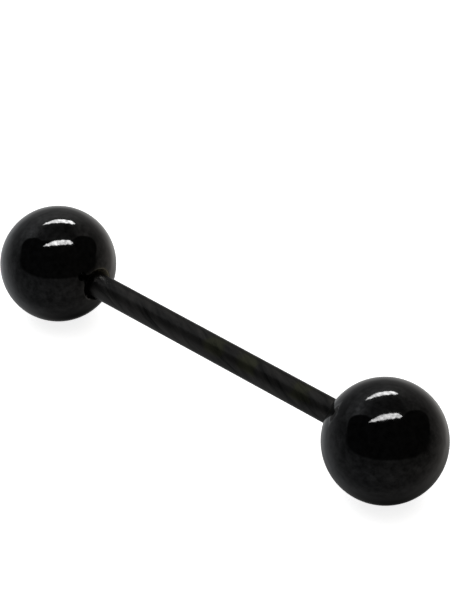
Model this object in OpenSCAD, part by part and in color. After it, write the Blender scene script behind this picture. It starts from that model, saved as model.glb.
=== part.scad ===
// Tongue barbell, lying on a flat surface: a straight bar with a threaded stud at each end,
// and a ball screwed on each stud. +X runs along the bar to the right ball and +Z is up.
// The origin is on the surface that the balls rest on, under the middle of the bar.

/* [Balls] */
// Diameter of each ball
ball_d = 6; // [5:0.5:8]
// How far the rim of each ball's countersunk mouth stands off the bar
mouth_gap = 0.235; // [0.15:0.005:0.3]

/* [Bar] */
// Length of bar that shows between the balls
bar_show = 16; // [10:1:24]
// Diameter of the bar
bar_d = 1.3; // [1.2:0.05:1.6]
// Width of each shoulder, from the bar's surface in to the thread's crests
shoulder_w = 0.065; // [0.03:0.005:0.08]
// Bevel on the edge of each shoulder
shoulder_bevel = 0.025; // [0.01:0.005:0.03]

/* [Threads] */
// Length of each stud, from the shoulder to the tip
stud_len = 2.4; // [1.8:0.1:2.5]
// Plain neck between the shoulder and the first ridge of the thread
neck_len = 0.15; // [0.1:0.05:0.3]
// Cone at the tip of each stud
tip_len = 0.15; // [0.1:0.05:0.3]
// Distance from one ridge of the thread to the next
pitch = 0.25; // [0.2:0.05:0.35]
// Height of the ridges on each stud
ridge_h = 0.14; // [0.08:0.01:0.16]
// Depth of the grooves in each ball's hole
groove_depth = 0.05; // [0.03:0.01:0.05]
// Angle between the two flanks of a ridge or groove
thread_angle = 60; // [50:5:60]
// Angle of the drilled point at the end of each hole
drill_angle = 118; // [90:1:140]

/* [Clearances] */
// Gap between the stud's crests and the ridges in the hole
thread_gap = 0.02; // [0.01:0.005:0.03]
// Gap between a shoulder's bevel and the countersink that it seats in
seat_gap = 0.07; // [0.04:0.01:0.1]
// Space left in the hole past the tip of the stud
tip_gap = 0.25; // [0.1:0.05:0.4]

/* [Hidden] */
$fn = 96;

ball_r = ball_d / 2;
bar_r = bar_d / 2;
axis_z = ball_r;
ball_x = bar_show / 2 + ball_r;

// thread radii on the stud and in the hole
crest_r = bar_r - shoulder_w;
root_r = crest_r - ridge_h;
hole_r = crest_r + thread_gap;
groove_r = hole_r + groove_depth;
flank = tan(thread_angle / 2);
ridges = floor((stud_len - neck_len - tip_len) / pitch);

// heights along the hole from the ball's centre: the mouth, the foot of the 45 degree countersink,
// the shoulder whose 45 degree bevel seats in it, and the floor
mouth_r = bar_r + mouth_gap;
mouth_u = sqrt(ball_r ^ 2 - mouth_r ^ 2);
seat_u = mouth_u - (mouth_r - hole_r);
shoulder_u = seat_u + bar_r - shoulder_bevel - hole_r + seat_gap * sqrt(2);
floor_u = shoulder_u - stud_len - tip_gap;
drill_tip = hole_r / tan(drill_angle / 2);
shoulder_x = ball_x - shoulder_u;

// distance from the shoulder to the middle of ridge i
function ridge_at(i) = neck_len + (i + 0.5) * pitch;

// one ridge or groove with its peak at height u, as points [radius, height]
function vee(u, base, peak) =
    let (half = (peak - base) * flank)
    [[base, u - half], [peak, u], [base, u + half]];

// outline of the bar's right half from its middle out to the tip, as points [radius, height]
function half_bar() = [
    [bar_r, shoulder_x - shoulder_bevel],
    [bar_r - shoulder_bevel, shoulder_x],
    [root_r, shoulder_x],
    for (i = [0:ridges - 1]) each vee(shoulder_x + ridge_at(i), root_r, crest_r),
    [root_r, shoulder_x + stud_len - tip_len],
    [root_r / 2, shoulder_x + stud_len],
];

function mirrored(points) = [for (i = [len(points) - 1:-1:0]) [points[i].x, -points[i].y]];

// the hole in a ball, from its drilled point out past the mouth, as points [radius, height]
function hole() = [
    [0, floor_u - drill_tip],
    [hole_r, floor_u],
    for (i = [ridges - 1:-1:0]) each vee(shoulder_u - ridge_at(i), hole_r, groove_r),
    [hole_r, seat_u],
    [hole_r + ball_r, seat_u + ball_r],
    [0, seat_u + ball_r],
];

// a straight shaft with a shoulder, a neck and a ringed stud at each end
module bar() {
    outline = half_bar();
    tip = [0, shoulder_x + stud_len];
    color("#3d3d40")
    translate([0, 0, axis_z])
    rotate([0, 90, 0])
    rotate_extrude()
        polygon(concat([-tip], mirrored(outline), outline, [tip]));
}

// a ball whose hole opens towards the bar; side is -1 for the left ball and 1 for the right one
module ball(side) {
    color("#17171a")
    translate([side * ball_x, 0, axis_z])
    rotate([0, -90 * side, 0])
    difference() {
        sphere(r = ball_r);
        rotate_extrude() polygon(hole());
    }
}

bar();
ball(-1);  // left_ball
ball(1);  // right_ball
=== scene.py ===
import bpy
import numpy as np
from mathutils import Matrix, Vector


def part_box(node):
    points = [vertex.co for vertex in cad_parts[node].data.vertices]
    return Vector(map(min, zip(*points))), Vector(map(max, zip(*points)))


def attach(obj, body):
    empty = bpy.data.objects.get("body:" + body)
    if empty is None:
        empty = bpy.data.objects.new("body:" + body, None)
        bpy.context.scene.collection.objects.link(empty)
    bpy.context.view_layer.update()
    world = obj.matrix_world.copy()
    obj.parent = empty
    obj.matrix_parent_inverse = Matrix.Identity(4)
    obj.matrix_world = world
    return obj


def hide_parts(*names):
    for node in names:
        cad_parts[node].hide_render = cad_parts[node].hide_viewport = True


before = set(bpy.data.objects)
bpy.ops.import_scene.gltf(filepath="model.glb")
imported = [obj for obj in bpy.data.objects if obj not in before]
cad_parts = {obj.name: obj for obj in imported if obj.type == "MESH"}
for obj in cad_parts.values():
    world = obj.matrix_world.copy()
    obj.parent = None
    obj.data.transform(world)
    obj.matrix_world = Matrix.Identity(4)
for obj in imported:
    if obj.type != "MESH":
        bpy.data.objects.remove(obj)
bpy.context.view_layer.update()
MM = 0.001

# The camera stands off the right ball's end of the bar and looks down on it, as in the photograph.
# It is placed from the bar's middle: so far aside to its own right, so far above and so far away.
bar_low, bar_high = (np.array(corner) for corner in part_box("bar"))
middle = (bar_low + bar_high) / 2
azimuth, elevation = np.radians([43.21, 34.01])
aside, above, away = 0.590 * MM, 2.333 * MM, 116.41 * MM
focal_length = 142.44
nearest, farthest = 5 * MM, 20.0

to_camera = np.array([
    np.sin(azimuth) * np.cos(elevation),
    -np.cos(azimuth) * np.cos(elevation),
    np.sin(elevation),
])
rightward = np.array([np.cos(azimuth), np.sin(azimuth), 0.0])
upward = np.cross(to_camera, rightward)
view_axes = np.column_stack([rightward, upward, to_camera])
pose = np.eye(4)
pose[:3] = np.column_stack([view_axes, middle + view_axes @ (aside, above, away)])
camera = bpy.data.objects.new("camera", bpy.data.cameras.new("camera"))
camera.matrix_world = Matrix(pose)
camera.data.lens = focal_length
camera.data.clip_start, camera.data.clip_end = nearest, farthest
scene = bpy.context.scene
scene.collection.objects.link(camera)
scene.camera = camera
scene.view_settings.view_transform = "Standard"


# The studio: pale, uneven walls all round, a doorway high on the right and a dark room behind the camera.
# The polished balls show it as a grey ring round a black middle, the satin bar as a soft band.
def node(tree, kind, inputs=None, stops=(), **settings):
    """Adds one node: its settings, or its colour ramp's if it has stops, each a place and a colour or a
    grey, and then each input by its name or number, as a value or as a socket to link."""
    made = tree.nodes.new("ShaderNode" + kind)
    owner = made.color_ramp if stops else made
    for setting, value in settings.items():
        setattr(owner, setting, value)
    for number, (place, colour) in enumerate(stops):
        element = owner.elements[number] if number < 2 else owner.elements.new(place)
        element.position = place
        element.color = colour if np.ndim(colour) else (colour, colour, colour, 1)
    for key, value in (inputs or {}).items():
        if isinstance(value, bpy.types.NodeSocket):
            tree.links.new(value, made.inputs[key])
        else:
            made.inputs[key].default_value = value
    return made


backward = np.array([-np.sin(azimuth), np.cos(azimuth), 0.0])
straight_up = np.array([0, 0, 1.0])
# brightness of the walls by the sine of the height, behind the object and behind the camera, and a gain on
# the former by the share rightward
behind_object = (
    (-1.0, 0.42), (-0.7, 0.50), (-0.45, 0.60), (-0.12, 0.55), (0.15, 0.40), (0.34, 0.50),
    (0.5, 0.86), (0.66, 1.50), (0.78, 1.20), (0.88, 0.58), (1.0, 0.42),
)
behind_camera = ((-1.0, 0.42), (-0.8, 0.50), (-0.5, 0.64), (0.0, 0.46), (0.9, 0.50))
from_left_to_right = ((-1.0, 1.35), (-0.45, 0.98), (0.0, 0.90), (0.45, 1.2), (1.0, 1.2))
# the shares backward between which the front walls give way to the rear ones
front_ends, rear_starts = -0.25, 0.1
# a doorway high on the right, darker than the walls, and the shadow under each ball, deepest a little behind
# it: where each is, and what it leaves of the light by the cosine of the angle from there
doorway = view_axes @ (0.52, 0.85, 0.10)
doorway_light = ((0.80, 1.0), (0.93, 0.55), (1.0, 0.42))
shadow_slope, shadow_turn = np.radians(66), 0.13
shadow = np.cos(shadow_slope) * backward - np.sin(shadow_slope) * straight_up + shadow_turn * rightward
shadow_light = ((0.74, 1.0), (0.86, 0.58), (0.94, 0.29), (0.975, 0.15), (1.0, 0.07))
# what stands along the walls: how fine it is, and the least and greatest gain that it gives
clutter_scale, clutter_gain = 3.5, (0.82, 1.18)
# the dark room is an oval with two lobes: the middle and half size of each, where a ball in front of the
# camera shows them, as shares of the ball's radius rightward and upward
dark_ovals = (
    ((0.02, 0.065), (0.65, 0.330)),
    ((-0.400, 0.215), (0.205, 0.215)),
    ((0.450, 0.245), (0.220, 0.235)),
)
# an oval is where the two shares, each to this power, add up to less than about 1: its soft edge runs from
# the first of these sums to the second
oval_power, oval_edge, dark_room = 2.35, (0.86, 1.16), 0.13
# gains of red, green and blue, a little cool on the left and warm on the right, and the share rightward
# at which each is reached
cool, warm = (0.97, 1.0, 1.03, 1), (1.05, 1.0, 0.94, 1)
cool_at, warm_at = -0.6, 0.9

world = bpy.data.worlds.new("studio")
scene.world = world
world.use_nodes = True
room = world.node_tree
room.nodes.clear()
# in a Mix of colours, 0 is the second one's share, 6 and 7 are the colours and output 2 is the mix; in a
# MapRange, 0 is the value, 1 and 2 the range that it comes in and 3 and 4 the range that it is taken to
looking = node(room, "TexCoord").outputs["Generated"]
ahead, high, right_side, by_doorway, by_shadow = (
    node(room, "VectorMath", {0: looking, 1: toward.tolist()}, operation="DOT_PRODUCT").outputs["Value"]
    for toward in (
        backward, straight_up, rightward, doorway / np.linalg.norm(doorway), shadow / np.linalg.norm(shadow),
    )
)
height, across = (node(room, "MapRange", {0: share, 1: -1.0}).outputs[0] for share in (high, right_side))
rear, front, sideways = (
    node(
        room, "ValToRGB", {0: factor}, interpolation="EASE",
        stops=[((share + 1) / 2, grey) for share, grey in greys],
    ).outputs[0]
    for factor, greys in ((height, behind_object), (height, behind_camera), (across, from_left_to_right))
)
shaded = node(
    room, "Mix", {0: 1.0, 6: rear, 7: sideways}, data_type="RGBA", blend_type="MULTIPLY",
).outputs[2]
rear_share = node(
    room, "MapRange", {0: ahead, 1: front_ends, 2: rear_starts}, interpolation_type="SMOOTHSTEP",
).outputs[0]
walls = node(room, "Mix", {0: rear_share, 6: front, 7: shaded}, data_type="RGBA").outputs[2]
clutter = node(
    room, "TexNoise", {"Vector": looking, "Scale": clutter_scale, "Detail": 4.0, "Distortion": 0.5},
).outputs["Fac"]
for gain in (
    node(room, "ValToRGB", {0: by_doorway}, stops=doorway_light).outputs[0],
    node(room, "ValToRGB", {0: by_shadow}, stops=shadow_light).outputs[0],
    node(room, "MapRange", {0: clutter, 1: 0.3, 2: 0.7, 3: clutter_gain[0], 4: clutter_gain[1]}).outputs[0],
):
    walls = node(
        room, "Mix", {0: 1.0, 6: walls, 7: gain}, data_type="RGBA", blend_type="MULTIPLY",
    ).outputs[2]
# a mirror shows what lies this way where it faces half way between here and the camera
half_way = node(room, "VectorMath", {0: looking, 1: to_camera.tolist()}, operation="ADD").outputs[0]
facing = node(room, "VectorMath", {0: half_way}, operation="NORMALIZE").outputs[0]
shown_at = node(room, "CombineXYZ", {
    axis: node(room, "VectorMath", {0: facing, 1: toward.tolist()}, operation="DOT_PRODUCT").outputs["Value"]
    for axis, toward in enumerate((rightward, upward))
}).outputs[0]
pale = 1.0
for oval_middle, oval_half in dark_ovals:
    in_oval = node(
        room, "Mapping", {0: shown_at, "Location": (*oval_middle, 0), "Scale": (*oval_half, 1)},
        vector_type="TEXTURE",
    ).outputs[0]
    from_middle = node(room, "VectorMath", {0: in_oval}, operation="ABSOLUTE").outputs[0]
    powered = node(
        room, "VectorMath", {0: from_middle, 1: (oval_power, oval_power, 1)}, operation="POWER",
    ).outputs[0]
    summed = node(room, "VectorMath", {0: powered, 1: (1, 1, 0)}, operation="DOT_PRODUCT").outputs["Value"]
    outside = node(
        room, "MapRange", {0: summed, 1: oval_edge[0], 2: oval_edge[1]}, interpolation_type="SMOOTHSTEP",
    ).outputs[0]
    pale = node(room, "Math", {0: pale, 1: outside}, operation="MULTIPLY").outputs[0]
lit = node(
    room, "Mix", {0: pale, 6: (dark_room, dark_room, dark_room, 1), 7: walls}, data_type="RGBA",
).outputs[2]
warmth = node(room, "MapRange", {0: right_side, 1: cool_at, 2: warm_at}).outputs[0]
tone = node(room, "Mix", {0: warmth, 6: cool, 7: warm}, data_type="RGBA").outputs[2]
toned = node(room, "Mix", {0: 1.0, 6: lit, 7: tone}, data_type="RGBA", blend_type="MULTIPLY").outputs[2]
sky = node(room, "Background", {"Color": toned})
node(room, "OutputWorld", {"Surface": sky.outputs[0]})


# The table: a sheet of white cast acrylic, lit from below, that the two balls rest on. It runs 2 m each way.
# A broad lamp straight above lights it alone, so the balls and the bar leave a soft, faint shadow.
def linear(colour):
    """An sRGB hex colour as linear red, green, blue and an alpha of 1."""
    srgb = np.array([int(colour[i : i + 2], 16) for i in (1, 3, 5)]) / 255
    return (*np.where(srgb <= 0.04045, srgb / 12.92, ((srgb + 0.055) / 1.055) ** 2.4).tolist(), 1.0)


def lamp(name, centre, along, across, length, width, radiance, lit_things):
    """A rectangular lamp, its length along one direction and its width across it. It shines the opposite way
    to their cross product, on the things it lights alone, and the camera doesn't see it."""
    light = bpy.data.lights.new(name, "AREA")
    light.shape, light.size, light.size_y = "RECTANGLE", length, width
    light.energy = radiance * np.pi * length * width
    made = bpy.data.objects.new(name, light)
    turn = np.eye(4)
    turn[:3] = np.column_stack([along, across, np.cross(along, across), centre])
    made.matrix_world = Matrix(turn)
    made.visible_camera = False
    made.light_linking.receiver_collection = lit_things
    scene.collection.objects.link(made)
    return made


table_size, table_glow = 4.0, 0.83
table_lamp_size, table_lamp_height, table_lamp_radiance = 0.5, 0.35, 0.9

sheet = bpy.data.meshes.new("table")
corner = table_size / 2
corners = [(-corner, -corner, 0), (corner, -corner, 0), (corner, corner, 0), (-corner, corner, 0)]
sheet.from_pydata(corners, [], [(0, 1, 2, 3)])
table = bpy.data.objects.new("table", sheet)
scene.collection.objects.link(table)
table.visible_glossy = False
# White cast acrylic, sanded matt: the eye sees an even white with no image of the room in it.
acrylic = bpy.data.materials.new("white_cast_acrylic")
acrylic.use_nodes = True
acrylic.node_tree.nodes.clear()
white = node(acrylic.node_tree, "BsdfPrincipled", {
    "Base Color": linear("#e9e9e8"), "Roughness": 0.55, "IOR": 1.49,
    "Emission Color": linear("#ffffff"), "Emission Strength": table_glow,
})
node(acrylic.node_tree, "OutputMaterial", {"Surface": white.outputs[0]})
sheet.materials.append(acrylic)

table_things = bpy.data.collections.new("lit_table")
table_things.objects.link(table)
lamp(
    "table_lamp", table_lamp_height * straight_up, np.array([1.0, 0, 0]), np.array([0, 1.0, 0]),
    table_lamp_size, table_lamp_size, table_lamp_radiance, table_things,
)


# Two strip lights over the table, 150 mm from the bar. Each ball shows them as two bright curved lines.
# They light the balls alone: the satin bar has no such line, and the table stays even.
def facing_bar(direction, run, distance):
    """The centre, along and across of a lamp that faces the bar's middle from a direction, so far away:
    along is the part of run that is square to the direction, and across is square to both."""
    toward_lamp = direction / np.linalg.norm(direction)
    along = run - toward_lamp * (run @ toward_lamp)
    along /= np.linalg.norm(along)
    return middle + distance * toward_lamp, along, np.cross(toward_lamp, along)


strip_distance, strip_radiance = 150 * MM, 55.0
# each strip's middle and the way it runs, as (backward, up, rightward), then its length and width, as
# shares of the distance
strips = {
    "rear_strip": ((0.611, 0.791, -0.050), (0.110, -0.027, 0.560), 0.80, 0.200),
    "front_strip": ((-0.222, 0.975, -0.010), (0.130, 0.011, 0.723), 1.06, 0.215),
}
# half the width that glows by the place along the strip, as a share of the strip's own half width
glowing_width = ((0.0, 0.12), (0.12, 0.45), (0.42, 0.9), (0.92, 0.85), (1.0, 0.3))
# the folds of the cloth front along the strip: how many, how far they move its edge, and their gain
fold_count, fold_edge, fold_gain = 8.0, (-0.2, 0.15), (0.6, 1.3)
# the glow fades in between these distances inside its edge, in half widths of the strip
soft_edge = (-0.05, 0.25)

ball_things = bpy.data.collections.new("lit_balls")
studio_axes = np.column_stack([backward, straight_up, rightward])
for strip, (place, run, length, width) in strips.items():
    light = lamp(
        strip, *facing_bar(studio_axes @ place, studio_axes @ run, strip_distance),
        length * strip_distance, width * strip_distance, strip_radiance, ball_things,
    ).data
    # the cloth front glows unevenly: thin at the left end, streaked across, and soft along both edges
    light.use_nodes = True
    tree = light.node_tree
    tree.nodes.clear()
    front_face = node(tree, "NewGeometry").outputs["Parametric"]
    along_strip, across_strip = node(tree, "SeparateXYZ", {0: front_face}).outputs[:2]
    folds = node(
        tree, "Mapping", {0: front_face, "Scale": (fold_count, 1.0, 1.0)}, vector_type="POINT",
    ).outputs[0]
    streaks = node(tree, "TexNoise", {"Vector": folds, "Scale": 1.0, "Detail": 2.0}).outputs["Fac"]
    half_width = node(tree, "ValToRGB", {0: along_strip}, stops=glowing_width).outputs[0]
    ragged = node(
        tree, "MapRange", {0: streaks, 1: 0.3, 2: 0.7, 3: fold_edge[0], 4: fold_edge[1]},
    ).outputs[0]
    ragged_half_width = node(tree, "Math", {0: half_width, 1: ragged}, operation="ADD").outputs[0]
    off_centre = node(tree, "MapRange", {0: across_strip, 3: -1.0}).outputs[0]
    from_centre = node(tree, "Math", {0: off_centre}, operation="ABSOLUTE").outputs[0]
    inside = node(tree, "Math", {0: ragged_half_width, 1: from_centre}, operation="SUBTRACT").outputs[0]
    glow = node(
        tree, "MapRange", {0: inside, 1: soft_edge[0], 2: soft_edge[1]}, interpolation_type="SMOOTHSTEP",
    ).outputs[0]
    shine = node(
        tree, "MapRange", {0: streaks, 1: 0.35, 2: 0.65, 3: fold_gain[0], 4: fold_gain[1]},
    ).outputs[0]
    strength = node(tree, "Math", {0: glow, 1: shine}, operation="MULTIPLY").outputs[0]
    emitted = node(tree, "Emission", {"Strength": strength})
    node(tree, "OutputLight", {"Surface": emitted.outputs[0]})

# The bar: one length of 316L steel wire, ground round, its ends turned down to a shoulder, a relief neck
# and a cut right-hand thread, and the whole of it coated. It is the middle of the barbell.
shoulder_bevel, shoulder_width = 0.025 * MM, 0.065 * MM
stud_length, neck_length, tip_length = 2.4 * MM, 0.15 * MM, 0.15 * MM
pitch, ridge_height, ridge_count = 0.25 * MM, 0.14 * MM, 8
# the crests are cut off at this share of the sharp vee's height
thread_angle, crest_share = np.radians(60), 0.94
# the coat has worn through at the crests and is whole this far below them
wear_depth = 0.03 * MM
# the fan that closes a stud's tip or a drilled point starts from a ring of this radius
end_radius = 0.02 * MM
columns, shaft_rows, rows_per_pitch, edge_gap = 160, 18, 16, 0.004 * MM

bar_radius = (bar_high[2] - bar_low[2]) / 2
shoulder_x = bar_high[0] - stud_length
crest_radius = bar_radius - shoulder_width
root_radius = crest_radius - ridge_height
angles = np.arange(columns) * 2 * np.pi / columns


def creased(points):
    """A profile with a row a short way before and after each corner: both ends of each segment, moved in
    by the edge gap, and then its far corner."""
    start, end = points[:-1], points[1:]
    reach = edge_gap * (end - start) / np.linalg.norm(end - start, axis=1, keepdims=True)
    return np.vstack([points[:1], np.stack([start + reach, end - reach, end], axis=1).reshape(-1, 2)])


def thread(x, first_ridge, valley, peak):
    """The radius at each x (rows) and angle (columns) of a right-hand vee thread: peak at a ridge's middle,
    falling by the thread's flank to valley. A ridge's middle moves along the bar by one pitch in each turn,
    and the ridge fades out over the first and last half pitch of the thread."""
    off = (x[:, None] - first_ridge - pitch * angles / (2 * np.pi) + pitch / 2) % pitch - pitch / 2
    height = abs(peak - valley)
    rise = np.clip(height - np.abs(off) / np.tan(thread_angle / 2), 0, crest_share * height)
    inside = np.minimum(x - x.min(), x.max() - x)[:, None]
    return valley + np.sign(peak - valley) * rise * np.clip(2 * inside / pitch, 0, 1)


def turned(name, x, radius, wear_and_highlight, material_of_row):
    """A closed surface turned about the bar's axis: each row is a ring at x whose points stand radius away
    at each angle, counted from +Y towards +Z. Neighbouring rings are joined by quads, and each end by a fan
    to its middle. Each point keeps how worn its coat is, which on the balls also holds a painted highlight,
    and each row the number of its material."""
    ring = np.empty((len(x), columns, 3))
    ring[..., 0] = x[:, None]
    ring[..., 1] = radius * np.cos(angles)
    ring[..., 2] = middle[2] + radius * np.sin(angles)
    ends = [[x[0], 0, middle[2]], [x[-1], 0, middle[2]]]
    number = np.arange(radius.size).reshape(radius.shape)
    beside = np.roll(number, -1, axis=1)
    quads = np.stack([number[:-1], beside[:-1], beside[1:], number[1:]], axis=2).reshape(-1, 4)
    first_fan = np.stack([np.full(columns, number.size), beside[0], number[0]], axis=1)
    last_fan = np.stack([np.full(columns, number.size + 1), number[-1], beside[-1]], axis=1)
    faces = [*quads.tolist(), *first_fan.tolist(), *last_fan.tolist()]
    mesh = bpy.data.meshes.new(name)
    mesh.from_pydata(np.vstack([ring.reshape(-1, 3), ends]).tolist(), [], faces)
    mesh.shade_smooth()
    wear_and_highlight_layer = mesh.attributes.new("wear_and_highlight", "FLOAT", "POINT")
    wear_and_highlight_layer.data.foreach_set("value", np.concatenate([wear_and_highlight.ravel(), [0, 0]]).astype(np.float32))
    material_of_band = np.concatenate([material_of_row[:-1], material_of_row[[0, -1]]])
    mesh.polygons.foreach_set("material_index", np.repeat(material_of_band, columns).astype(np.int32))
    made = bpy.data.objects.new(name, mesh)
    scene.collection.objects.link(made)
    return made


shaft_end = shoulder_x - shoulder_bevel
shaft_x = np.append(np.linspace(0, shaft_end, shaft_rows)[:-1], shaft_end - edge_gap)
first_ridge = shoulder_x + neck_length + pitch / 2
thread_x = shoulder_x + neck_length + np.arange(ridge_count * rows_per_pitch + 1) * pitch / rows_per_pitch
before_thread = creased(np.array([
    [shaft_end, bar_radius],
    [shoulder_x, bar_radius - shoulder_bevel],
    [shoulder_x, root_radius],
    [thread_x[0], root_radius],
]))[:-1]
after_thread = creased(np.array([
    [thread_x[-1], root_radius],
    [shoulder_x + stud_length - tip_length, root_radius],
    [shoulder_x + stud_length, root_radius / 2],
    [shoulder_x + stud_length, end_radius],
]))[1:]
# each row's place and radius from the bar's middle out to a tip, and then from tip to tip
half_rows = np.vstack([
    np.stack([shaft_x, np.full(shaft_rows, bar_radius)], axis=1),
    before_thread,
    np.stack([thread_x, np.full(len(thread_x), root_radius)], axis=1),
    after_thread,
])
bar_rows = np.vstack([half_rows[:0:-1] * (-1, 1), half_rows])
bar_radii = np.repeat(bar_rows[:, 1:], columns, axis=1)
before_right_stud = len(bar_rows) - len(after_thread) - len(thread_x)
stud_rows = slice(before_right_stud, before_right_stud + len(thread_x))
for side, outward_radii in ((-1, bar_radii[::-1]), (1, bar_radii)):
    outward_radii[stud_rows] = thread(side * thread_x, side * first_ridge, root_radius, crest_radius)
# the coat is thin on the crests of the thread and on the edge of each shoulder
on_stud = np.abs(bar_rows[:, :1]) > shaft_end
crest_wear = np.clip((bar_radii - crest_radius + wear_depth) / wear_depth, 0, 1) * on_stud
bar = turned("bar_shaft_and_studs", bar_rows[:, 0], bar_radii, crest_wear, np.zeros(len(bar_rows)))

# Satin black PVD coating on ground 316L wire: a hard dark metal film, 2 to 3 micrometres thick. It keeps the
# helical lay of the centreless grinding, so the eye sees a soft sheen in slanted, slightly uneven patches.
# The lay and the grit are drawn coarser than the real ones, which are too fine to show.
lay_angle, lay_depth = np.radians(24), 0.012 * MM
patch_long, patch_wide, grain, grit_share = 2.2 * MM, 0.5 * MM, 0.05 * MM, 0.12
satin_roughness = (0.25, 0.36)
# the film reflects this share of what a bare metal would at a grazing angle
grazing_share = 0.66
# where along the bar the film is thinner on its upper side and shows olive, and how far each blotch goes
# each way, as shares of the bar between the shoulders; its ends wander by half the reach each way
tint_spots, blotch = (0.530, 0.655, 0.862), 0.042
wander_size, wander_reach = 0.7 * MM, 1.6 * MM
# the way that the tinted side faces, and how far that way from the axis, in radii of the bar, the tint
# starts and is full
tint_side, tint_edge = np.array([0, 0.68, 0.73]), (-0.65, -0.15)

satin = bpy.data.materials.new("satin_black_pvd_on_ground_316l")
satin.use_nodes = True
tree = satin.node_tree
tree.nodes.clear()
place = node(tree, "TexCoord").outputs["Object"]
along_bar = node(tree, "SeparateXYZ", {0: place}).outputs["X"]
twist = node(
    tree, "Math", {0: along_bar, 1: -np.tan(lay_angle) / bar_radius}, operation="MULTIPLY",
).outputs[0]
untwisted = node(
    tree, "VectorRotate", {"Vector": place, "Center": (0, 0, middle[2]), "Angle": twist},
    rotation_type="X_AXIS",
).outputs[0]
lay = node(
    tree, "Mapping", {"Vector": untwisted, "Scale": (1 / patch_long, 1 / patch_wide, 1 / patch_wide)},
    vector_type="POINT",
).outputs[0]
patches = node(tree, "TexNoise", {
    "Vector": lay, "Scale": 1.0, "Detail": 4.0, "Roughness": 0.6, "Distortion": 0.7,
}).outputs["Fac"]
shade = node(
    tree, "ValToRGB", {0: patches}, stops=((0.34, linear("#151515")), (0.66, linear("#2c2b2a"))),
).outputs[0]
wander = node(tree, "TexNoise", {"Vector": place, "Scale": 1 / wander_size, "Detail": 3.0}).outputs["Fac"]
wavering = node(
    tree, "Math", {0: wander, 1: wander_reach, 2: along_bar}, operation="MULTIPLY_ADD",
).outputs[0]
share_along = node(
    tree, "MapRange", {0: wavering, 1: wander_reach / 2 - shoulder_x, 2: wander_reach / 2 + shoulder_x},
).outputs[0]
spotted = node(tree, "ValToRGB", {0: share_along}, stops=[
    (spot + step * blotch, grey)
    for spot in tint_spots
    for step, grey in ((-1, 0.0), (-0.5, 1.0), (0.5, 1.0), (1, 0.0))
]).outputs[0]
upper_side = node(
    tree, "VectorMath", {0: place, 1: (tint_side / bar_radius).tolist()}, operation="DOT_PRODUCT",
).outputs["Value"]
axis_share = tint_side[2] * middle[2] / bar_radius
on_top = node(
    tree, "MapRange", {0: upper_side, 1: axis_share + tint_edge[0], 2: axis_share + tint_edge[1]},
    interpolation_type="SMOOTHSTEP",
).outputs[0]
thin = node(tree, "MapRange", {0: patches, 1: 0.3, 2: 0.7, 3: 0.35, 4: 0.85}).outputs[0]
spotted_top = node(tree, "Math", {0: spotted, 1: on_top}, operation="MULTIPLY").outputs[0]
tinted = node(tree, "Math", {0: spotted_top, 1: thin}, operation="MULTIPLY").outputs[0]
film = node(tree, "Mix", {0: tinted, 6: shade, 7: linear("#2c2d20")}, data_type="RGBA").outputs[2]
edge_wear_and_highlight = node(tree, "Attribute", attribute_name="wear_and_highlight").outputs["Fac"]
coat = node(tree, "Mix", {0: edge_wear_and_highlight, 6: film, 7: linear("#8d8a86")}, data_type="RGBA").outputs[2]
sheen = node(
    tree, "MapRange", {0: patches, 1: 0.3, 2: 0.7, 3: satin_roughness[0], 4: satin_roughness[1]},
).outputs[0]
grit = node(
    tree, "TexNoise", {"Vector": place, "Scale": 1 / grain, "Detail": 2.0, "Roughness": 0.5},
).outputs["Fac"]
relief = node(tree, "Math", {0: grit, 1: grit_share, 2: patches}, operation="MULTIPLY_ADD").outputs[0]
rippled = node(tree, "Bump", {"Height": relief, "Strength": 1.0, "Distance": lay_depth}).outputs[0]
finish = node(tree, "BsdfPrincipled", {
    "Base Color": coat, "Metallic": 1.0, "Roughness": sheen, "Normal": rippled,
    "Specular Tint": (grazing_share, grazing_share, grazing_share, 1),
})
node(tree, "OutputMaterial", {"Surface": finish.outputs[0]})
bar.data.materials.append(satin)

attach(bar, "bar")
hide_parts("bar")

# Three soft lamps light the bar alone: the white table close under it, which its reflections don't reach, a
# lamp on the left that lights it up to the left ball, and a weak strip between the two that light the balls,
# which the lay blurs to a soft band on its upper side. Only the bar itself shades it from the first two.
glow_height, glow_length, glow_width, glow_radiance = 0.2 * MM, 90 * MM, 60 * MM, 0.24
fill_direction, fill_run = np.array([-0.78, -0.58, 0.26]), np.array([0, 0.26, 0.58])
fill_distance, fill_length, fill_width, fill_radiance = 150 * MM, 150 * MM, 120 * MM, 0.27
# the strip's middle and the way it runs, as (backward, up, rightward)
band_place, band_run = (0.36, 0.93, -0.05), (0, -0.05, -0.93)
band_length, band_width, band_radiance = 120 * MM, 45 * MM, 0.65

bar_things = bpy.data.collections.new("lit_bar")
bar_things.objects.link(bar)
under_glow = lamp(
    "table_glow", glow_height * straight_up, np.array([1.0, 0, 0]), np.array([0, -1.0, 0]),
    glow_length, glow_width, glow_radiance, bar_things,
)
left_fill = lamp(
    "left_fill", *facing_bar(fill_direction, fill_run, fill_distance),
    fill_length, fill_width, fill_radiance, bar_things,
)
lamp(
    "band_strip", *facing_bar(studio_axes @ band_place, studio_axes @ band_run, strip_distance),
    band_length, band_width, band_radiance, bar_things,
)
for unblocked in (under_glow, left_fill):
    unblocked.light_linking.blocker_collection = bar_things

# The two balls: 316L steel balls, drilled, countersunk and tapped from one side, tumbled to a mirror and
# coated black. Each screws on a stud until the bar's shoulder seats in its countersink.
mouth_gap, thread_gap, lip_width = 0.235 * MM, 0.02 * MM, 0.05 * MM
groove_depth, tip_gap, drill_angle = 0.05 * MM, 0.25 * MM, np.radians(118)
sphere_rows, lip_rows = 130, 8

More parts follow.
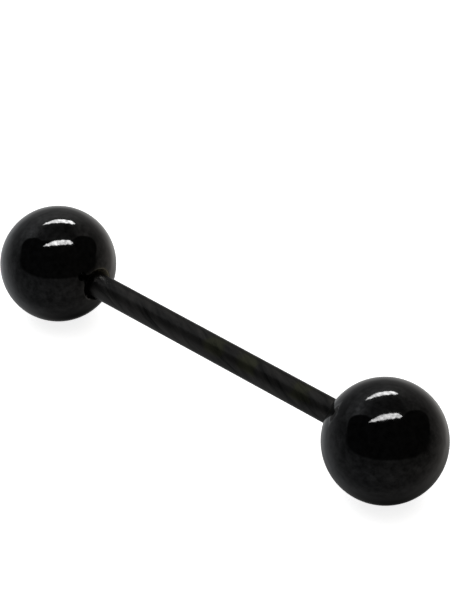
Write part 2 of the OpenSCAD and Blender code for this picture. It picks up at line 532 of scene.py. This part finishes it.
# Every length here is counted along the bar from its middle, the same for both ends.
ball_low, ball_high = (np.array(corner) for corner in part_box("right_ball"))
ball_radius = (ball_high[2] - ball_low[2]) / 2
ball_x = ball_high[0] - ball_radius
hole_radius = crest_radius + thread_gap
mouth_radius = bar_radius + mouth_gap
mouth = np.array([ball_x - np.sqrt(ball_radius**2 - mouth_radius**2), mouth_radius])
foot = np.array([mouth[0] + mouth_radius - hole_radius, hole_radius])
floor_x = shoulder_x + stud_length + tip_gap
drilled = creased(np.array([
    [floor_x + (hole_radius - end_radius) / np.tan(drill_angle / 2), end_radius],
    [floor_x, hole_radius],
    [thread_x[-1], hole_radius],
]))[:-1]
groove_x = thread_x[::-1]
lip_start = mouth + lip_width * (foot - mouth) / np.linalg.norm(foot - mouth)
countersink = creased(np.array([[thread_x[0], hole_radius], foot, lip_start]))[1:]
lip_end_turn = np.arcsin(mouth_radius / ball_radius) + lip_width / ball_radius
turn = np.linspace(lip_end_turn, np.pi, sphere_rows + 1)[:-1]
round_rows = np.stack([ball_x - ball_radius * np.cos(turn), ball_radius * np.sin(turn)], axis=1)
# the lip is a parabola that starts along the countersink and ends along the sphere
share = np.linspace(0, 1, lip_rows + 1)[1:-1, None]
lip = (1 - share) ** 2 * lip_start + 2 * share * (1 - share) * mouth + share**2 * round_rows[0]
ball_rows = np.vstack([
    drilled,
    np.stack([groove_x, np.full(len(groove_x), hole_radius)], axis=1),
    countersink,
    lip,
    round_rows,
])
tapped_rows = slice(len(drilled), len(drilled) + len(groove_x))
# the coating starts at the countersink's foot; it is thin inside the countersink, and rubbed off along its
# lip and its foot. Both are gathered round one angle on the upper side, where the bare steel is partly wear
# and partly a painted highlight along the top of the lip
sink_wear, edge_wear, edge_reach, highlight_angle = 0.65, 0.12, 0.045 * MM, np.radians(64)
coated = np.arange(len(ball_rows)) >= tapped_rows.stop + 2
in_sink = (ball_rows[:, 0] < foot[0]) & (ball_rows[:, 1] < mouth_radius)
near_edge = sum(
    np.exp(-((np.linalg.norm(ball_rows - edge, axis=1) / edge_reach) ** 2)) for edge in (mouth, foot)
)
# painted highlight: the bare steel is gathered round one angle, where light catches the top of the lip
highlight_by_angle = (0.5 + 0.5 * np.cos(angles - highlight_angle)) ** 2
ball_wear_and_highlight = (sink_wear * in_sink + edge_wear * near_edge)[:, None] * highlight_by_angle

# Tapped 316L inside the hole: the coating hardly reaches it, so the cut steel shows, warm where the film is
# thinnest, with the fine rings that the drill and the tap leave.
ring_width, ring_length, ring_depth, film_patch = 0.02 * MM, 0.4 * MM, 0.003 * MM, 0.5 * MM
cut = bpy.data.materials.new("tapped_316l_thinly_coated")
cut.use_nodes = True
tree = cut.node_tree
tree.nodes.clear()
place = node(tree, "TexCoord").outputs["Object"]
marks = node(
    tree, "Mapping", {"Vector": place, "Scale": (1 / ring_width, 1 / ring_length, 1 / ring_length)},
    vector_type="POINT",
).outputs[0]
rings = node(tree, "TexNoise", {"Vector": marks, "Scale": 1.0, "Detail": 3.0}).outputs["Fac"]
patches = node(tree, "TexNoise", {"Vector": place, "Scale": 1 / film_patch, "Detail": 2.0}).outputs["Fac"]
steel = node(
    tree, "ValToRGB", {0: patches}, stops=((0.0, linear("#5b574f")), (1.0, linear("#a39b88"))),
).outputs[0]
rough = node(tree, "MapRange", {0: rings, 1: 0.3, 2: 0.7, 3: 0.22, 4: 0.40}).outputs[0]
ringed = node(tree, "Bump", {"Height": rings, "Strength": 1.0, "Distance": ring_depth}).outputs[0]
finish = node(tree, "BsdfPrincipled", {
    "Base Color": steel, "Metallic": 1.0, "Roughness": rough, "Normal": ringed,
})
node(tree, "OutputMaterial", {"Surface": finish.outputs[0]})

# Mirror-polished black PVD coating on tumbled 316L: the bar's film over a surface with no lay left. It
# throws back sharp, very dark images of the studio, and handling leaves a faint haze in it. Where it has
# worn, the steel shows through warm and dull; along the top of the lip this paler steel is also a painted
# highlight. The mottle is drawn coarser than the real one, which wouldn't show.
haze_size, mottle_size, polished_roughness, worn_roughness = 1.8 * MM, 0.28 * MM, (0.03, 0.08), 0.6
# painted shade: what each ball's copy of the finish throws back, next to the left one's; the right
# ball's copy is darker all over
ball_shade_shares = {"left_ball": 1.0, "right_ball": 0.88}

for side, (name, ball_shade_share) in zip((-1, 1), ball_shade_shares.items()):
    mirror = bpy.data.materials.new("mirror_black_pvd_" + name)
    mirror.use_nodes = True
    tree = mirror.node_tree
    tree.nodes.clear()
    place = node(tree, "TexCoord").outputs["Object"]
    haze = node(
        tree, "TexNoise", {"Vector": place, "Scale": 1 / haze_size, "Detail": 5.0, "Roughness": 0.62},
    ).outputs["Fac"]
    mottle = node(
        tree, "TexNoise", {"Vector": place, "Scale": 1 / mottle_size, "Detail": 4.0, "Roughness": 0.7},
    ).outputs["Fac"]
    # the film's colour, darker on the right ball as painted shade
    film = node(tree, "ValToRGB", {0: mottle}, stops=[
        (at, [*(ball_shade_share * part for part in linear(colour)[:3]), 1])
        for at, colour in ((0.36, "#141414"), (0.64, "#232323"))
    ]).outputs[0]
    edge_wear_and_highlight = node(tree, "Attribute", attribute_name="wear_and_highlight").outputs["Fac"]
    # the paler steel is wear, and along the top of the lip also a painted highlight
    coat = node(tree, "Mix", {0: edge_wear_and_highlight, 6: film, 7: linear("#8c8672")}, data_type="RGBA").outputs[2]
    hazed = node(
        tree, "MapRange", {0: haze, 1: 0.35, 2: 0.7, 3: polished_roughness[0], 4: polished_roughness[1]},
    ).outputs[0]
    rubbed = node(
        tree, "Math", {0: edge_wear_and_highlight, 1: worn_roughness, 2: hazed}, operation="MULTIPLY_ADD",
    ).outputs[0]
    # the grazing reflection is dimmed on the right ball too, as painted shade
    finish = node(tree, "BsdfPrincipled", {
        "Base Color": coat, "Metallic": 1.0, "Roughness": rubbed,
        "Specular Tint": (ball_shade_share, ball_shade_share, ball_shade_share, 1),
    })
    node(tree, "OutputMaterial", {"Surface": finish.outputs[0]})

    ball_radii = np.repeat(ball_rows[:, 1:], columns, axis=1)
    ball_radii[tapped_rows] = thread(
        side * groove_x, side * first_ridge, hole_radius, hole_radius + groove_depth,
    )
    # the rows run the other way on the left, so that the faces point outwards there too
    ball = turned(
        name + "_polished", side * ball_rows[::side, 0], ball_radii[::side], ball_wear_and_highlight[::side],
        np.where(coated, 0, 1)[::side],
    )
    ball.data.materials.append(mirror)
    ball.data.materials.append(cut)
    ball_things.objects.link(ball)
    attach(ball, name)
    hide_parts(name)

# The photograph shows no image of the left ball in the right one, so a pale card that only the right ball
# sees hides it. It stands 1 mm in front of the left ball and faces along the bar.
card_x, card_size, card_radiance = -7.0 * MM, 6.0 * MM, 0.42
card_things = bpy.data.collections.new("lit_right_ball")
card_things.objects.link(bpy.data.objects["right_ball_polished"])
lamp(
    "card", np.array([card_x, 0, middle[2]]), straight_up, np.array([0, 1.0, 0]),
    card_size, card_size, card_radiance, card_things,
)
